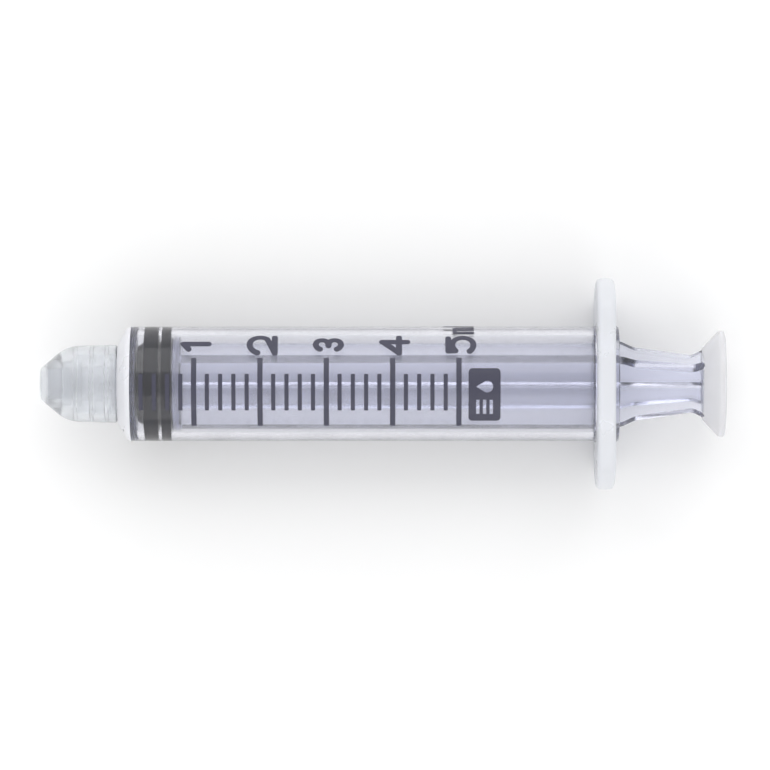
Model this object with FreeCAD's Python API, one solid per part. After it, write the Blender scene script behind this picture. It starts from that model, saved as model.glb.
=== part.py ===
"""A 5 mL oral syringe with its push-on tip cap: moulded barrel, plunger rod, rubber stopper, cap and printed scale.

The syringe lies on its flat-sided finger flange with its axis along X: the nozzle and its cap point to -X, the thumb
press to +X, and the printed scale faces up. The origin is on the surface it lies on, under the middle of its length.
Stations are distances along the axis from the front of the cap. Millimetres throughout.
"""

import FreeCAD, Part
import math
import os

V = FreeCAD.Vector
X_AXIS = V(1, 0, 0)

# ---- driving dimensions ----
OVERALL_LENGTH = 86.1        # from the front of the cap to the back of the thumb press
BORE_R = 6.2                 # inside of the barrel
WALL = 1.0                   # barrel wall
BARREL_R = BORE_R + WALL
ML_STEP = 1000.0 / (math.pi * BORE_R ** 2)   # length of barrel that holds 1 mL
CAPACITY_ML = 5
TICKS_PER_ML = 5

FLANGE_FRONT = 69.9          # station of the face the fingers pull on
FLANGE_THICK = 2.3
FLANGE_R = 13.3              # half of the span over the two wings
FLANGE_HALF_DEPTH = 8.3      # from the axis to a flat side, on which the syringe lies
FLANGE_ROUND = 0.7           # softening of the flange's edges
FLANGE_REAR = FLANGE_FRONT + FLANGE_THICK
LIP_REAR = 72.75             # back of the low lip round the barrel's mouth
LIP_R = 7.1
LIP_FOOT_R = 7.6

# ---- nose: front wall, nozzle and its passage ----
FRONT_WALL = 9.75            # station of the barrel's front face
SHOULDER_R = 5.0
SHOULDER_REAR = 10.95        # where the slope of the shoulder would meet the outside of the tube
NOZZLE_FRONT = 1.15
NOZZLE_TIP_R = 2.05
NOZZLE_TAPER = 0.03          # gain in radius per millimetre, a 6% taper on diameter
NOZZLE_ROOT_R = NOZZLE_TIP_R + NOZZLE_TAPER * (FRONT_WALL - NOZZLE_FRONT)
PASSAGE_R = 1.0
BOSS_R = 3.1                 # stop ring round the nozzle's root
BOSS_FRONT = 8.9
FLOOR_CENTRE = 10.95         # inner floor of the chamber, at the passage
FLOOR_EDGE = 11.75           # inner floor of the chamber, where it meets the bore
BEAD_R = 6.07                # low inner ring that keeps the plunger from falling out
BEAD_STATION = 70.9
BEAD_HALF = 0.5
MOUTH_CHAMFER = 0.4

# ---- stopper ----
STOPPER_FRONT = 11.2
STOPPER_REAR = 16.6
SEAL_R = BORE_R - 0.05       # sealing rings, a running fit in the bore
SEAL_GROOVE_R = 5.35
SEAL_1 = (13.1, 14.7)        # stations of the two sealing rings
SEAL_2 = (15.5, STOPPER_REAR)
SOCKET_FRONT = 12.7
SOCKET_R = 3.4
SOCKET_LIP = 15.4            # front of the lip that holds the rod's head
SOCKET_NECK_R = 2.0

# ---- plunger rod ----
HEAD_GAP = 0.08              # clearance between the rod's head and the stopper's socket
ROD_DISC_THICK = 1.1
ROD_R = 5.9
RIB_THICK = 1.1
RIB_ROLL = -30.0             # degrees the four ribs are turned about the axis from upright
RIB_TAPER_FRONT = 73.1       # behind the barrel the ribs drop to the top of a long taper
RIB_TAPER_TOP = (74.8, 5.0)   # station and radius at its start
RIB_TAPER_FOOT = (82.0, 3.85)  # and at its end, in front of the thumb press
ROD_DISC_FRONT = STOPPER_REAR + HEAD_GAP
THUMB_R = 6.7
THUMB_EDGE = 0.75            # thickness of the press at its edge
THUMB_CONE_R = 4.5           # where its conical underside meets the ribs
THUMB_CONE_FRONT = 83.3
THUMB_DISH_R = 5.6           # hollow in the back of the press, for the ball of the thumb
THUMB_DISH_FLOOR_R = 4.6
THUMB_DISH = 0.7
GRIP_RING_RADII = (1.3, 2.5, 3.7)
GRIP_RING_WIDTH = 0.5
GRIP_RING_HEIGHT = 0.3

# ---- tip cap ----
CAP_REAR = FRONT_WALL - 0.12
CAP_FRONT_R = 1.95
CAP_R = 4.9
CAP_WALL = 0.9
CAP_BORE_GAP = 0.04          # clearance between the cap's bore and the nozzle
CAP_SLEEVE_R = 2.75          # inner sleeve that hugs the nozzle
CAP_SLEEVE_REAR = 5.3
CAP_CAVITY_FRONT = 3.1       # front of the hollow between the sleeve and the skirt
CAP_CAVITY_R = CAP_R - CAP_WALL
CAP_RING_STATIONS = (4.5, 6.5, 8.4)
CAP_RING_R = 3.5
CAP_RING_HALF = 0.35

# ---- printed scale ----
INK = 0.04                   # thickness of the ink
ZERO_STATION = STOPPER_FRONT  # nothing is left in the barrel when the stopper is home
LONG_LINE = (26.5, -46.5)    # degrees from the top of the barrel towards +Y, first end and last end
SHORT_LINE = (9.8, -27.3)
LONG_LINE_WIDTH = 0.66
SHORT_LINE_WIDTH = 0.52
NUMERAL_HEIGHT = 3.9
NUMERAL_WIDTH = 3.4
NUMERAL_STROKE = 0.76
NUMERAL_ANGLE = 42.8
NUMERAL_SHIFT = 0.25         # the numerals stand this far behind their lines
UNIT_STROKE = 0.5
UNIT_M_ANGLE = 69.0
UNIT_L_ANGLE = 89.0
BADGE_ANGLE = -12.0
BADGE_STATION = 55.8
BADGE_LENGTH = 4.0
BADGE_WIDTH = 6.7


def rounded_outline(corners):
    """A closed wire through (station, radius) corners. A third value rounds that corner by that radius."""
    count = len(corners)
    edges = []
    first = None
    last = None
    for i, corner in enumerate(corners):
        here = V(corner[0], corner[1], 0)
        radius = corner[2] if len(corner) > 2 else 0.0
        if radius == 0.0:
            start, end = here, here
        else:
            before = V(*corners[i - 1][:2], 0) - here
            after = V(*corners[(i + 1) % count][:2], 0) - here
            before.normalize()
            after.normalize()
            half = before.getAngle(after) / 2
            start = here + before * (radius / math.tan(half))
            end = here + after * (radius / math.tan(half))
            middle_way = before + after
            middle_way.normalize()
            middle = here + middle_way * (radius / math.sin(half) - radius)
        if last is not None and last.distanceToPoint(start) > 1e-7:
            edges.append(Part.LineSegment(last, start).toShape())
        if radius > 0.0:
            edges.append(Part.Arc(start, middle, end).toShape())
        if first is None:
            first = start
        last = end
    if last.distanceToPoint(first) > 1e-7:
        edges.append(Part.LineSegment(last, first).toShape())
    return Part.Wire(edges)


def turned(corners):
    """A solid of revolution about the syringe's axis."""
    return Part.Face(rounded_outline(corners)).revolve(V(0, 0, 0), X_AXIS, 360)


def ring(inner_r, outer_r, start, end):
    """A plain ring or, with no inner radius, a disc between two stations."""
    return turned([(start, inner_r), (start, outer_r), (end, outer_r), (end, inner_r)])


def finger_flange():
    """Two rounded wings with flat long sides and softened edges, still without its bore."""
    disc = Part.makeCylinder(FLANGE_R, FLANGE_THICK, V(FLANGE_FRONT, 0, 0), X_AXIS)
    slab = Part.makeBox(
        FLANGE_THICK, 2 * FLANGE_R, 2 * FLANGE_HALF_DEPTH, V(FLANGE_FRONT, -FLANGE_R, -FLANGE_HALF_DEPTH)
    )
    plate = disc.common(slab)
    corners = [e for e in plate.Edges if abs(e.Length - FLANGE_THICK) < 1e-6 and e.BoundBox.XLength > 1]
    plate = plate.makeFillet(2.6, corners)
    rims = [e for e in plate.Edges if e.BoundBox.XLength < 1e-6]
    return plate.makeFillet(FLANGE_ROUND, rims)


def barrel():
    """The one-piece moulding: nozzle, shoulder, tube, finger flange and retaining bead."""
    outside = turned([
        (NOZZLE_FRONT, 0),
        (NOZZLE_FRONT, NOZZLE_TIP_R, 0.3),
        (BOSS_FRONT, NOZZLE_TIP_R + NOZZLE_TAPER * (BOSS_FRONT - NOZZLE_FRONT), 0.25),
        (BOSS_FRONT, BOSS_R, 0.3),
        (FRONT_WALL, BOSS_R + 0.15, 0.2),
        (FRONT_WALL, SHOULDER_R, 0.4),
        (SHOULDER_REAR, BARREL_R, 0.8),
        (FLANGE_FRONT, BARREL_R, 0.35),
        (FLANGE_FRONT, FLANGE_HALF_DEPTH - FLANGE_ROUND),
        (FLANGE_REAR - 0.5, FLANGE_HALF_DEPTH - FLANGE_ROUND),
        (FLANGE_REAR, LIP_FOOT_R, 0.2),
        (LIP_REAR, LIP_R, 0.2),
        (LIP_REAR, 0),
    ])
    passage = turned([(0, 0), (0, PASSAGE_R), (FLOOR_CENTRE + 1, PASSAGE_R), (FLOOR_CENTRE + 1, 0)])
    chamber = turned([
        (FLOOR_CENTRE, 0),
        (FLOOR_CENTRE, PASSAGE_R),
        (FLOOR_EDGE, BORE_R, 0.8),
        (BEAD_STATION - BEAD_HALF, BORE_R),
        (BEAD_STATION, BEAD_R, 0.6),
        (BEAD_STATION + BEAD_HALF, BORE_R),
        (LIP_REAR - MOUTH_CHAMFER, BORE_R),
        (LIP_REAR, BORE_R + MOUTH_CHAMFER),
        (LIP_REAR + 1, BORE_R + MOUTH_CHAMFER),
        (LIP_REAR + 1, 0),
    ])
    return outside.fuse(finger_flange()).cut(passage).cut(chamber).removeSplitter()


def stopper():
    """Rubber stopper: a blunt nose, two sealing rings and a socket that snaps over the rod's head."""
    body = turned([
        (STOPPER_FRONT, 0),
        (STOPPER_FRONT, 1.2, 0.8),
        (STOPPER_FRONT + 0.75, 4.5, 0.7),
        (SEAL_1[0] - 0.1, 5.2, 0.4),
        (SEAL_1[0], SEAL_R, 0.35),
        (SEAL_1[1], SEAL_R, 0.35),
        (SEAL_1[1], SEAL_GROOVE_R, 0.2),
        (SEAL_2[0], SEAL_GROOVE_R, 0.2),
        (SEAL_2[0], SEAL_R, 0.3),
        (SEAL_2[1], SEAL_R, 0.3),
        (SEAL_2[1], 0),
    ])
    socket = turned([
        (SOCKET_FRONT, 0),
        (SOCKET_FRONT, 2.3, 0.4),
        (SOCKET_LIP - 0.8, SOCKET_R, 0.5),
        (SOCKET_LIP, SOCKET_R, 0.2),
        (SOCKET_LIP + 0.25, SOCKET_NECK_R, 0.1),
        (STOPPER_REAR - 0.35, SOCKET_NECK_R),
        (STOPPER_REAR, SOCKET_NECK_R + 0.35),
        (STOPPER_REAR + 1, SOCKET_NECK_R + 0.35),
        (STOPPER_REAR + 1, 0),
    ])
    return body.cut(socket)


def rod_envelope():
    """The outside that the ribs fill: straight in the barrel, waisted behind it, flared into the thumb press."""
    return turned([
        (ROD_DISC_FRONT + 0.2, 0),
        (ROD_DISC_FRONT + 0.2, ROD_R),
        (RIB_TAPER_FRONT, ROD_R, 1.2),
        (*RIB_TAPER_TOP, 3.0),
        (*RIB_TAPER_FOOT, 1.4),
        (THUMB_CONE_FRONT + 0.4, THUMB_CONE_R + 0.3),
        (THUMB_CONE_FRONT + 0.4, 0),
    ])


def plunger_rod():
    """One moulding: snap head, pushing disc, four ribs and a dished thumb press."""
    length = OVERALL_LENGTH
    upright = Part.makeBox(length, RIB_THICK, 2 * BARREL_R, V(0, -RIB_THICK / 2, -BARREL_R))
    level = Part.makeBox(length, 2 * BARREL_R, RIB_THICK, V(0, -BARREL_R, -RIB_THICK / 2))
    cross = upright.fuse(level)
    cross.rotate(V(0, 0, 0), X_AXIS, RIB_ROLL)
    ribs = cross.common(rod_envelope())
    head = turned([
        (SOCKET_FRONT + 0.15, 0),
        (SOCKET_FRONT + 0.15, 2.1, 0.4),
        (SOCKET_LIP - 0.8, SOCKET_R - HEAD_GAP, 0.45),
        (SOCKET_LIP - HEAD_GAP, SOCKET_R - HEAD_GAP, 0.2),
        (SOCKET_LIP - HEAD_GAP, SOCKET_NECK_R - HEAD_GAP, 0.1),
        (ROD_DISC_FRONT + 0.5, SOCKET_NECK_R - HEAD_GAP),
        (ROD_DISC_FRONT + 0.5, 0),
    ])
    pushing_disc = turned([
        (ROD_DISC_FRONT, 0),
        (ROD_DISC_FRONT, ROD_R, 0.25),
        (ROD_DISC_FRONT + ROD_DISC_THICK, ROD_R, 0.25),
        (ROD_DISC_FRONT + ROD_DISC_THICK, 0),
    ])
    dish_floor = OVERALL_LENGTH - THUMB_DISH
    press = turned([
        (THUMB_CONE_FRONT, 0),
        (THUMB_CONE_FRONT, THUMB_CONE_R, 0.5),
        (OVERALL_LENGTH - THUMB_EDGE, THUMB_R, 0.4),
        (OVERALL_LENGTH, THUMB_R, 0.3),
        (OVERALL_LENGTH, THUMB_DISH_R, 0.2),
        (dish_floor, THUMB_DISH_FLOOR_R, 0.6),
        (dish_floor, 0),
    ])
    rod = ribs.fuse([head, pushing_disc, press])
    for radius in GRIP_RING_RADII:
        rod = rod.fuse(turned([
            (dish_floor - 0.2, radius - GRIP_RING_WIDTH / 2),
            (dish_floor + GRIP_RING_HEIGHT, radius - GRIP_RING_WIDTH / 2, 0.15),
            (dish_floor + GRIP_RING_HEIGHT, radius + GRIP_RING_WIDTH / 2, 0.15),
            (dish_floor - 0.2, radius + GRIP_RING_WIDTH / 2),
        ]))
    return rod.removeSplitter()


def tip_cap():
    """Push-on cap: a bullet-shaped shell with a sleeve that seals on the nozzle and rings inside its skirt."""
    nozzle_r = NOZZLE_TIP_R + CAP_BORE_GAP
    seal_front = NOZZLE_FRONT - CAP_BORE_GAP
    outside = turned([
        (0, 0),
        (0, CAP_FRONT_R, 0.45),
        (3.3, 4.75, 4.6),
        (CAP_REAR, CAP_R, 0.25),
        (CAP_REAR, 0),
    ])
    bore = turned([
        (seal_front, 0),
        (seal_front, nozzle_r, 0.2),
        (CAP_REAR + 1, nozzle_r + NOZZLE_TAPER * (CAP_REAR + 1 - seal_front)),
        (CAP_REAR + 1, 0),
    ])
    cavity = turned([
        (CAP_CAVITY_FRONT, CAP_SLEEVE_R),
        (CAP_CAVITY_FRONT, CAP_SLEEVE_R + 0.35, 0.1),
        (CAP_CAVITY_FRONT + 1.2, CAP_CAVITY_R - 0.2, 0.6),
        (CAP_REAR, CAP_CAVITY_R),
        (CAP_REAR + 1, CAP_CAVITY_R),
        (CAP_REAR + 1, 0),
        (CAP_SLEEVE_REAR, 0),
        (CAP_SLEEVE_REAR, CAP_SLEEVE_R, 0.2),
    ])
    cap = outside.cut(bore).cut(cavity)
    for station in CAP_RING_STATIONS:
        cap = cap.fuse(turned([
            (station - CAP_RING_HALF, CAP_CAVITY_R + 0.1),
            (station - CAP_RING_HALF / 2, CAP_RING_R, 0.1),
            (station + CAP_RING_HALF / 2, CAP_RING_R, 0.1),
            (station + CAP_RING_HALF, CAP_CAVITY_R + 0.1),
        ]))
    return cap.removeSplitter()


# ---- printing: flat artwork, read with the nozzle up, is carried down on to the barrel as a film of ink ----
def ink_shell(start, end):
    """The skin of ink thickness on the outside of the barrel between two stations."""
    return ring(BARREL_R, BARREL_R + INK, start, end)


def ink_arc(station, width, first, last):
    """A scale line: a strip of ink round part of the barrel, between two angles from its top towards +Y."""
    strip = Part.Face(rounded_outline([
        (station - width / 2, BARREL_R),
        (station - width / 2, BARREL_R + INK),
        (station + width / 2, BARREL_R + INK),
        (station + width / 2, BARREL_R),
    ]))
    line = strip.revolve(V(0, 0, 0), X_AXIS, first - last)
    line.rotate(V(0, 0, 0), X_AXIS, 90 - first)
    return line


def stroke(start, end, width):
    """A straight pen stroke with round ends, in the artwork's plane, as a tall prism."""
    across = V(-(end - start).y, (end - start).x, 0)
    across.normalize()
    across = across * (width / 2)
    corners = [start + across, end + across, end - across, start - across]
    prisms = [Part.Face(Part.makePolygon(corners + corners[:1])).extrude(V(0, 0, 2 * BARREL_R))]
    prisms += [Part.makeCylinder(width / 2, 2 * BARREL_R, p) for p in (start, end)]
    return prisms


def bow(centre, radius, first, last, width):
    """A curved pen stroke with round ends: an arc from one angle to a smaller one, anticlockwise degrees."""
    points = [centre + V(math.cos(a), math.sin(a), 0) * radius for a in (math.radians(last), math.radians(first))]
    face = Part.Face(Part.makePolygon([
        centre + V(radius - width / 2, 0, 0),
        centre + V(radius + width / 2, 0, 0),
        centre + V(radius + width / 2, 0, 2 * BARREL_R),
        centre + V(radius - width / 2, 0, 2 * BARREL_R),
        centre + V(radius - width / 2, 0, 0),
    ]))
    sweep = face.revolve(centre, V(0, 0, 1), first - last)
    sweep.rotate(centre, V(0, 0, 1), last)
    return [sweep] + [Part.makeCylinder(width / 2, 2 * BARREL_R, p) for p in points]


def numeral(digit):
    """The pen strokes of a digit from 1 to 5, centred on the origin, upright along +Y."""
    w = NUMERAL_STROKE
    top = (NUMERAL_HEIGHT - w) / 2
    side = (NUMERAL_WIDTH - w) / 2
    if digit == 1:
        return stroke(V(0.1, -top), V(0.1, top), w) + stroke(V(0.1, top), V(-0.75, top - 0.65), w)
    if digit == 2:
        bowl = V(0, top - side)
        turn = V(bowl.x + side * math.cos(math.radians(-40)), bowl.y + side * math.sin(math.radians(-40)))
        foot = V(-side, -top)
        return bow(bowl, side, 165, -40, w) + stroke(turn, foot, w) + stroke(foot, V(side, -top), w)
    if digit == 3:
        half = top / 2
        return bow(V(0, half), half, 160, -90, w) + bow(V(0, -half), half, 90, -160, w) + stroke(
            V(-0.2, 0), V(0, 0), w
        )
    if digit == 4:
        stem = 0.45
        bar = -0.35 * top
        return (
            stroke(V(stem, -top), V(stem, top), w)
            + stroke(V(stem, top), V(-side, bar), w)
            + stroke(V(-side, bar), V(side, bar), w)
        )
    bowl_r = side
    bowl = V(-0.05, -top + bowl_r)
    shoulder = V(bowl.x + bowl_r * math.cos(math.radians(135)), bowl.y + bowl_r * math.sin(math.radians(135)))
    heel = V(-side + 0.3, top)
    return bow(bowl, bowl_r, 135, -140, w) + stroke(shoulder, heel, w) + stroke(heel, V(side - 0.15, top), w)


def letter_m():
    """The pen strokes of a small m, of the height a small letter has beside the numerals."""
    w = UNIT_STROKE
    foot = -(NUMERAL_HEIGHT - w) / 2
    head = foot + 0.66 * (NUMERAL_HEIGHT - w)
    arch = 0.4
    strokes = stroke(V(-2 * arch, foot), V(-2 * arch, head), w)
    for x in (-arch, arch):
        strokes += bow(V(x, head - arch), arch, 180, 0, w)
        strokes += stroke(V(x + arch, foot), V(x + arch, head - arch), w)
    return strokes


def letter_l():
    """The pen strokes of a capital L."""
    w = UNIT_STROKE
    top = (NUMERAL_HEIGHT - w) / 2
    return stroke(V(-0.5, -top), V(-0.5, top), w) + stroke(V(-0.5, -top), V(0.75, -top), w)


def printed(prisms, station, angle):
    """Turns artwork to read with the nozzle up, lays it on the barrel at a station and angle, and keeps its ink."""
    art = prisms[0].multiFuse(prisms[1:]) if len(prisms) > 1 else prisms[0]
    art.rotate(V(0, 0, 0), V(0, 0, 1), 90)
    art.translate(V(station, 0, 0))
    art.rotate(V(0, 0, 0), X_AXIS, -angle)
    reach = NUMERAL_HEIGHT
    return art.common(ink_shell(station - reach, station + reach)).removeSplitter()


def long_lines():
    return [
        ink_arc(ZERO_STATION + ml * ML_STEP, LONG_LINE_WIDTH, *LONG_LINE) for ml in range(1, CAPACITY_ML + 1)
    ]


def short_lines():
    ticks = [t for t in range(1, CAPACITY_ML * TICKS_PER_ML) if t % TICKS_PER_ML]
    return [
        ink_arc(ZERO_STATION + t * ML_STEP / TICKS_PER_ML, SHORT_LINE_WIDTH, *SHORT_LINE) for t in ticks
    ]


def numerals():
    return [
        printed(numeral(ml), ZERO_STATION + ml * ML_STEP + NUMERAL_SHIFT, NUMERAL_ANGLE)
        for ml in range(1, CAPACITY_ML + 1)
    ]


def unit_letters():
    station = ZERO_STATION + CAPACITY_ML * ML_STEP
    return [printed(letter_m(), station, UNIT_M_ANGLE), printed(letter_l(), station, UNIT_L_ANGLE)]


def badge():
    """A plain printed block with a drop and a dose line left clear in it. It names no maker."""
    tall = 2 * BARREL_R
    block = Part.makeBox(BADGE_WIDTH, BADGE_LENGTH, tall, V(-BADGE_WIDTH / 2, -BADGE_LENGTH / 2, 0))
    upright = [e for e in block.Edges if e.BoundBox.ZLength > 1]
    block = block.makeFillet(0.5, upright)
    drop_r = 0.72
    drop_x = 1.15
    lean = math.radians(30)
    tip = V(drop_x, drop_r / math.sin(lean) - 0.35, 0)
    centre = V(drop_x, -0.35, 0)
    reach = drop_r * math.cos(lean)
    rise = drop_r * math.sin(lean)
    point = Part.Face(Part.makePolygon([
        tip, centre + V(-reach, rise, 0), centre + V(reach, rise, 0), tip
    ])).extrude(V(0, 0, tall))
    drop = Part.makeCylinder(drop_r, tall, centre).fuse(point)
    lines = [
        Part.makeBox(1.9, 0.42, tall, V(-2.4, y, 0)) for y in (-1.05, -0.21, 0.63)
    ]
    return [printed([block.cut([drop] + lines)], BADGE_STATION, BADGE_ANGLE)]


def export(name, solids):
    """Writes one node: its solids moved from stations to the part's own frame."""
    shape = Part.makeCompound(solids) if len(solids) > 1 else solids[0]
    shape = shape.copy()
    shape.translate(V(-OVERALL_LENGTH / 2, 0, FLANGE_HALF_DEPTH))
    shape.exportStep(os.path.join("parts", name + ".step"))
    print(name, len(shape.Solids), "solids", round(shape.Volume, 3), "mm3", shape.isValid())


def main():
    os.makedirs("parts", exist_ok=True)
    export("barrel", [barrel()])
    export("stopper", [stopper()])
    export("plunger_rod", [plunger_rod()])
    export("tip_cap", [tip_cap()])
    export("printed_long_lines", long_lines())
    export("printed_short_lines", short_lines())
    export("printed_numerals", numerals())
    export("printed_unit_letters", unit_letters())
    export("printed_badge", badge())


main()
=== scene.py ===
"""The looks of a capped 5 mL oral syringe, lying on a plain white floor and seen from straight above.

The clear mouldings are refractive plastic with a faint tint and haze, the stopper is black rubber, and the
printed scale is ink. Metres throughout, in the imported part's frame.
"""
import math

import bpy
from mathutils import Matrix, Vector


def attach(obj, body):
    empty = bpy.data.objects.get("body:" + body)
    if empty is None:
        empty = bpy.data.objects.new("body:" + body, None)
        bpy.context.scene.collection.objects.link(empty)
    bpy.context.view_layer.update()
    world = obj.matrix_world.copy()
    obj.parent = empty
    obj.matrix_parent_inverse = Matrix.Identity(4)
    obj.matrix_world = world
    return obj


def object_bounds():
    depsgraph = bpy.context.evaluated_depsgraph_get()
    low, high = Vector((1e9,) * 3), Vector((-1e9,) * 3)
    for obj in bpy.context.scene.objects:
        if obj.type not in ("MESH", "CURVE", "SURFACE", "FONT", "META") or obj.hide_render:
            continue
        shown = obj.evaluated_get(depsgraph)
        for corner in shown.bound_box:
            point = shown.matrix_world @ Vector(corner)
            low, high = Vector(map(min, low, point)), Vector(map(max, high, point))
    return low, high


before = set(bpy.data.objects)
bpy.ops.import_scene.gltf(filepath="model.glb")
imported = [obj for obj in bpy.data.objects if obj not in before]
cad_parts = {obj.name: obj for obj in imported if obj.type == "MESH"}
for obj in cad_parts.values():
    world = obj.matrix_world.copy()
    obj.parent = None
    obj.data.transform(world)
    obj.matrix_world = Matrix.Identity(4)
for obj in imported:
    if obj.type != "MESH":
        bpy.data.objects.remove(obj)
CAD_LOW, CAD_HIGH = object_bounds()
MM = 0.001

# ---- view ----
VIEW_WIDTH = 97.0 * MM      # how much of the floor the frame takes in
VIEW_CENTRE = Vector((0.32 * MM, -0.15 * MM, CAD_HIGH.z / 2))
CAMERA_HEIGHT = 0.75
SENSOR = 36.0

# ---- places on the part ----
AXIS_HEIGHT = 8.3 * MM
BARREL_R = 7.2 * MM
BORE_R = 6.2 * MM
CONTACT_R = BORE_R + 0.03 * MM      # a hair into the wall, so that no air shows between them
FLANGE_FRONT = 26.85 * MM
FLANGE_REAR = 29.15 * MM
NOSE_REAR = -31.5 * MM
PRESS_FRONT = 40.25 * MM
SEAL_RINGS = ((-29.9 * MM, -28.1 * MM), (-27.7 * MM, -26.5 * MM))
ZONE_SLACK = 0.02 * MM              # faces this close to the end of a zone still belong to it
FLANGE_CLEAR_OF = BARREL_R + 0.1 * MM

# ---- depths of the surface grain ----
MOULDED_WAVES = 0.005 * MM
RUBBER_GRAIN = 0.02 * MM
INK_GRAIN = 0.01 * MM

# ---- tints that light takes on inside the plastic: colour and density ----
BARREL_TINT = ((0.55, 0.58, 0.88), 45)
ROD_TINT = ((0.6, 0.62, 0.86), 60)
CAP_TINT = ((0.8, 0.82, 0.88), 40)

# ---- floor and light ----
FLOOR_SIZE = 6
FLOOR_WHITE = (0.93, 0.93, 0.93, 1)
SKY_LIGHT = 0.82
SOFTBOX_SIZE = (0.9, 0.6)
KEY_PLACE = (0.0, 0.46, 0.39)
FILL_PLACE = (0.0, -0.46, 0.39)


def camera():
    """A long lens straight above the syringe, its nozzle to the left."""
    data = bpy.data.cameras.new("camera")
    data.sensor_width = SENSOR
    data.lens = SENSOR * CAMERA_HEIGHT / VIEW_WIDTH
    data.clip_start = 0.01
    data.clip_end = 10
    obj = bpy.data.objects.new("camera", data)
    obj.location = VIEW_CENTRE + Vector((0, 0, CAMERA_HEIGHT))
    bpy.context.scene.collection.objects.link(obj)
    bpy.context.scene.camera = obj


# ---- materials ----
def principled(name, **values):
    """A new material with its Principled shader's sockets set, and the shader and node tree to build on."""
    material = bpy.data.materials.new(name)
    material.use_nodes = True
    tree = material.node_tree
    shader = tree.nodes["Principled BSDF"]
    for socket, value in values.items():
        shader.inputs[socket.replace("_", " ")].default_value = value
    return material, tree, shader


def noise(tree, scale, detail=3.0, roughness=0.5):
    coordinates = tree.nodes.new("ShaderNodeTexCoord")
    texture = tree.nodes.new("ShaderNodeTexNoise")
    texture.inputs["Scale"].default_value = scale
    texture.inputs["Detail"].default_value = detail
    texture.inputs["Roughness"].default_value = roughness
    tree.links.new(coordinates.outputs["Object"], texture.inputs["Vector"])
    return texture


def vary(tree, socket, source, low, high):
    """Drives a socket between two values by a texture's factor."""
    span = tree.nodes.new("ShaderNodeMapRange")
    span.inputs["From Min"].default_value = 0.3
    span.inputs["From Max"].default_value = 0.7
    span.inputs["To Min"].default_value = low
    span.inputs["To Max"].default_value = high
    tree.links.new(source, span.inputs["Value"])
    tree.links.new(span.outputs["Result"], socket)


def bump(tree, shader, source, distance):
    node = tree.nodes.new("ShaderNodeBump")
    node.inputs["Strength"].default_value = 1.0
    node.inputs["Distance"].default_value = distance
    tree.links.new(source, node.inputs["Height"])
    tree.links.new(node.outputs["Normal"], shader.inputs["Normal"])


def clear_plastic(name, tint, clarity, roughness, absorb, density):
    """Moulded polypropylene: refractive, a little milky, with a faint tint that deepens with thickness."""
    material, tree, shader = principled(
        name, Base_Color=(*tint, 1), IOR=1.49, Transmission_Weight=clarity, Specular_IOR_Level=0.5
    )
    haze = noise(tree, 220)
    vary(tree, shader.inputs["Roughness"], haze.outputs["Fac"], roughness * 0.7, roughness * 1.3)
    waves = noise(tree, 90, detail=2)
    bump(tree, shader, waves.outputs["Fac"], MOULDED_WAVES)
    volume = tree.nodes.new("ShaderNodeVolumeAbsorption")
    volume.inputs["Color"].default_value = (*absorb, 1)
    volume.inputs["Density"].default_value = density
    tree.links.new(volume.outputs["Volume"], tree.nodes["Material Output"].inputs["Volume"])
    return material


def rubber(name):
    material, tree, shader = principled(name, Base_Color=(0.005, 0.005, 0.018, 1), Specular_IOR_Level=0.15)
    grain = noise(tree, 900, detail=6)
    vary(tree, shader.inputs["Roughness"], grain.outputs["Fac"], 0.28, 0.42)
    bump(tree, shader, grain.outputs["Fac"], RUBBER_GRAIN)
    return material


def ink(name):
    material, tree, shader = principled(name, Base_Color=(0.045, 0.045, 0.075, 1), IOR=1.5)
    grain = noise(tree, 1500, detail=4)
    vary(tree, shader.inputs["Roughness"], grain.outputs["Fac"], 0.35, 0.6)
    bump(tree, shader, grain.outputs["Fac"], INK_GRAIN)
    return material


def dress(node, *materials):
    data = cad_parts[node].data
    data.materials.clear()
    for material in materials:
        data.materials.append(material)
    return data


def zone(data, front, rear, index, clear_of=0.0):
    """Faces between two places along the part, and clear_of or more from its axis, take another material."""
    for face in data.polygons:
        if front - ZONE_SLACK < face.center.x < rear + ZONE_SLACK:
            if math.hypot(face.center.y, face.center.z - AXIS_HEIGHT) >= clear_of:
                face.material_index = index


def dress_all():
    tube = clear_plastic("barrel_plastic", (0.975, 0.978, 1.0), 0.98, 0.12, *BARREL_TINT)
    # Painted light: the flange and the nose get whiter, milkier copies of the one clear barrel plastic, so
    # they show bright where the clear moulding would show dark.
    flange_painted_light = clear_plastic("flange_plastic_painted_light", (0.88, 0.90, 0.94), 0.25, 0.35, *BARREL_TINT)
    nose_painted_light = clear_plastic("nose_plastic_painted_light", (0.95, 0.96, 1.0), 0.25, 0.30, *BARREL_TINT)
    barrel = dress("barrel", tube, flange_painted_light, nose_painted_light)
    zone(barrel, FLANGE_FRONT, FLANGE_REAR, 1, FLANGE_CLEAR_OF)
    zone(barrel, CAD_LOW.x, NOSE_REAR, 2)
    ribs = clear_plastic("rod_plastic", (0.89, 0.9, 0.97), 0.98, 0.10, *ROD_TINT)
    # Painted light: the press gets a whiter, milkier copy of the clear rod plastic, so it shows brighter
    # than the same clear moulding would.
    press_painted_light = clear_plastic("press_plastic_painted_light", (0.99, 0.99, 1.0), 0.45, 0.20, *ROD_TINT)
    zone(dress("plunger_rod", ribs, press_painted_light), PRESS_FRONT, CAD_HIGH.x, 1)
    dress("tip_cap", clear_plastic("cap_plastic", (0.95, 0.97, 1.0), 0.78, 0.16, *CAP_TINT))
    dress("stopper", rubber("stopper_rubber"))
    black = ink("scale_ink")
    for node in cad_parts:
        if node.startswith("printed_"):
            dress(node, black)


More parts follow.
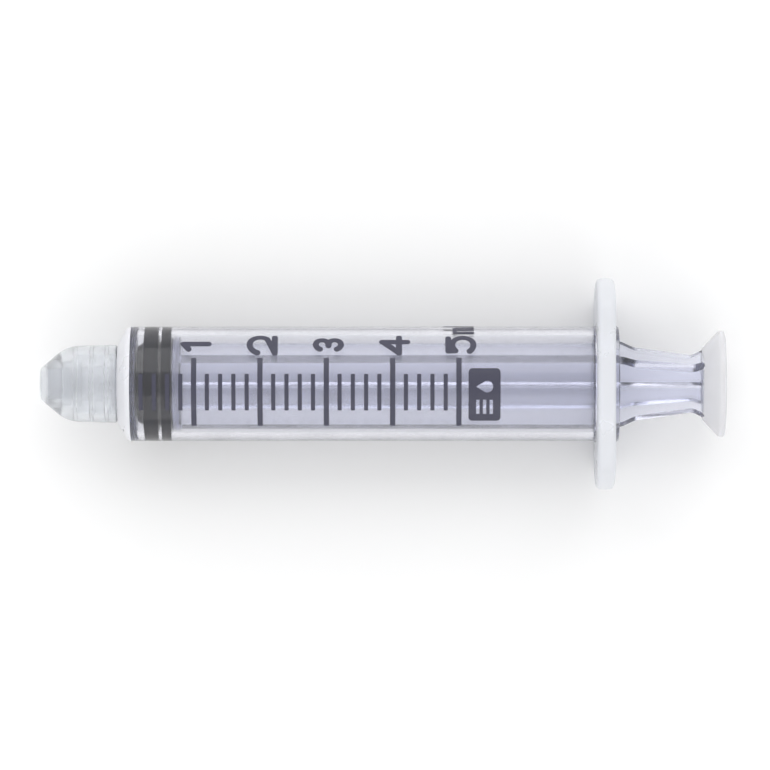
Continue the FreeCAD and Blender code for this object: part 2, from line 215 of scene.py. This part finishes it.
# ---- where the rubber is squeezed against the bore ----
def contact_band(index, front, rear):
    """A sealing ring wets the barrel's inside, so it shows through the whole wall."""
    bpy.ops.mesh.primitive_cylinder_add(
        vertices=128, radius=CONTACT_R, depth=rear - front, end_fill_type="NOTHING",
        location=((front + rear) / 2, 0, AXIS_HEIGHT), rotation=(0, math.pi / 2, 0),
    )
    band = bpy.context.object
    band.name = f"seal_contact_{index}"
    for face in band.data.polygons:
        face.use_smooth = True
    band.data.materials.append(bpy.data.materials["stopper_rubber"])
    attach(band, "stopper")


def contact_bands():
    for index, ends in enumerate(SEAL_RINGS):
        contact_band(index + 1, *ends)


# ---- the studio ----
def table():
    """A plain matt white floor."""
    bpy.ops.mesh.primitive_plane_add(size=FLOOR_SIZE, location=(0, 0, 0))
    plane = bpy.context.object
    plane.name = "table"
    material, _, _ = principled("table_white", Base_Color=FLOOR_WHITE, Roughness=0.9)
    plane.data.materials.append(material)


def sky():
    """The same soft white light from every side."""
    world = bpy.data.worlds.new("studio")
    bpy.context.scene.world = world
    world.use_nodes = True
    background = world.node_tree.nodes["Background"]
    background.inputs["Color"].default_value = (1, 1, 1, 1)
    background.inputs["Strength"].default_value = SKY_LIGHT


def softbox(name, place, power):
    """A large soft lamp that faces the syringe."""
    light = bpy.data.lights.new(name, "AREA")
    light.shape = "RECTANGLE"
    light.size, light.size_y = SOFTBOX_SIZE
    light.energy = power
    obj = bpy.data.objects.new(name, light)
    obj.location = place
    obj.rotation_euler = (VIEW_CENTRE - Vector(place)).to_track_quat("-Z", "Y").to_euler()
    bpy.context.scene.collection.objects.link(obj)


def lights():
    sky()
    softbox("key", KEY_PLACE, 1.8)
    softbox("fill", FILL_PLACE, 1.3)


def renderer():
    """Light crosses a dozen plastic faces on its way down and back, so it is followed through them all."""
    scene = bpy.context.scene
    scene.cycles.max_bounces = 40
    scene.cycles.transmission_bounces = 40
    scene.cycles.transparent_max_bounces = 16
    scene.view_settings.view_transform = "Standard"


camera()
dress_all()
contact_bands()
table()
lights()
renderer()
